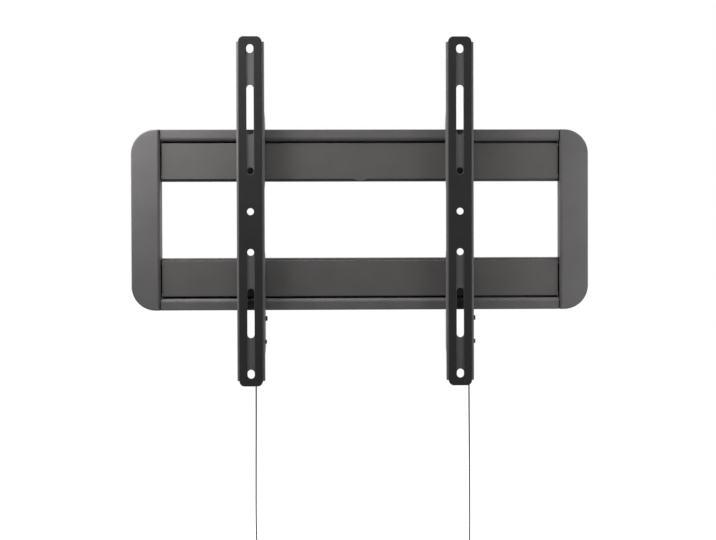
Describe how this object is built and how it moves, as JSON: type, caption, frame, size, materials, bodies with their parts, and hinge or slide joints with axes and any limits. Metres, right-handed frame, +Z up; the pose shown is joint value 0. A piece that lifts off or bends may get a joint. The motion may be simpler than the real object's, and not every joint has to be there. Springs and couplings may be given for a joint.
{
  "type": "tv wall mount",
  "caption": "Low-profile wall mount for a flat screen: rails with hook lips between rounded end covers, and vertical slotted strips that slide along them and lock with cord-released latches.",
  "frame": {"origin": "centre of the wall bolt pattern, on the wall plane", "axes": "+X to the viewer's right along the rails, +Y into the wall, +Z up"},
  "size_m": [0.5666, 0.043, 0.6588],
  "materials": {
    "powder_coat": "satin",
    "grey_moulding": "satin",
    "black_moulding": "matte",
    "black_steel": "satin",
    "zinc_steel": "satin",
    "spring_steel": "satin",
    "cord_fibre": "woven"
  },
  "bodies": {
    "wall_frame": {"top_rail": "powder_coat", "bottom_rail": "powder_coat", "top_cover_strip": "grey_moulding", "bottom_cover_strip": "grey_moulding", "left_end_cover": "grey_moulding", "right_end_cover": "grey_moulding", "left_side_plate": "powder_coat", "right_side_plate": "powder_coat", "side_plate_rivets": "zinc_steel", "cover_screws": "zinc_steel"},
    "left_strip": {"left_strip_channel": "powder_coat", "left_strip_liner": "black_moulding", "left_latch_pivot": "black_steel", "left_leaf_spring": "spring_steel", "left_spring_rivet": "black_steel"},
    "left_latch": {"left_latch_lever": "zinc_steel"},
    "left_cord": {"left_pull_cord": "cord_fibre", "left_pull_knob": "black_moulding"},
    "right_strip": {"right_strip_channel": "powder_coat", "right_strip_liner": "black_moulding", "right_latch_pivot": "black_steel", "right_leaf_spring": "spring_steel", "right_spring_rivet": "black_steel"},
    "right_latch": {"right_latch_lever": "zinc_steel"},
    "right_cord": {"right_pull_cord": "cord_fibre", "right_pull_knob": "black_moulding"}
  },
  "joints": [
    {"name": "left_strip_slide", "type": "slide", "parent": "wall_frame", "child": "left_strip", "axis": [1, 0, 0], "range_m": [-0.0849, 0.0851]},
    {"name": "left_latch_turn", "type": "hinge", "parent": "left_strip", "child": "left_latch", "pos_m": [-0.12165, -0.024, -0.122], "axis": [-1, 0, 0], "range_deg": [0, 28], "stiffness_Nm_per_rad": 0.08, "springref_deg": -34.38, "deforming": ["left_leaf_spring"]},
    {"name": "left_cord_hang", "type": "hinge", "parent": "left_latch", "child": "left_cord", "pos_m": [-0.1307, -0.00845, -0.1103], "axis": [-1, 0, 0], "range_deg": [-28, 0]},
    {"name": "right_strip_slide", "type": "slide", "parent": "wall_frame", "child": "right_strip", "axis": [1, 0, 0], "range_m": [-0.0727, 0.0973]},
    {"name": "right_latch_turn", "type": "hinge", "parent": "right_strip", "child": "right_latch", "pos_m": [0.13615, -0.024, -0.122], "axis": [-1, 0, 0], "range_deg": [0, 28], "stiffness_Nm_per_rad": 0.08, "springref_deg": -34.38, "deforming": ["right_leaf_spring"]},
    {"name": "right_cord_hang", "type": "hinge", "parent": "right_latch", "child": "right_cord", "pos_m": [0.1355, -0.00845, -0.1103], "axis": [-1, 0, 0], "range_deg": [-28, 0]}
  ],
  "couplings": [
    {"joint": "left_cord_hang", "follows": "left_latch_turn", "ratio": -1},
    {"joint": "right_cord_hang", "follows": "right_latch_turn", "ratio": -1}
  ]
}
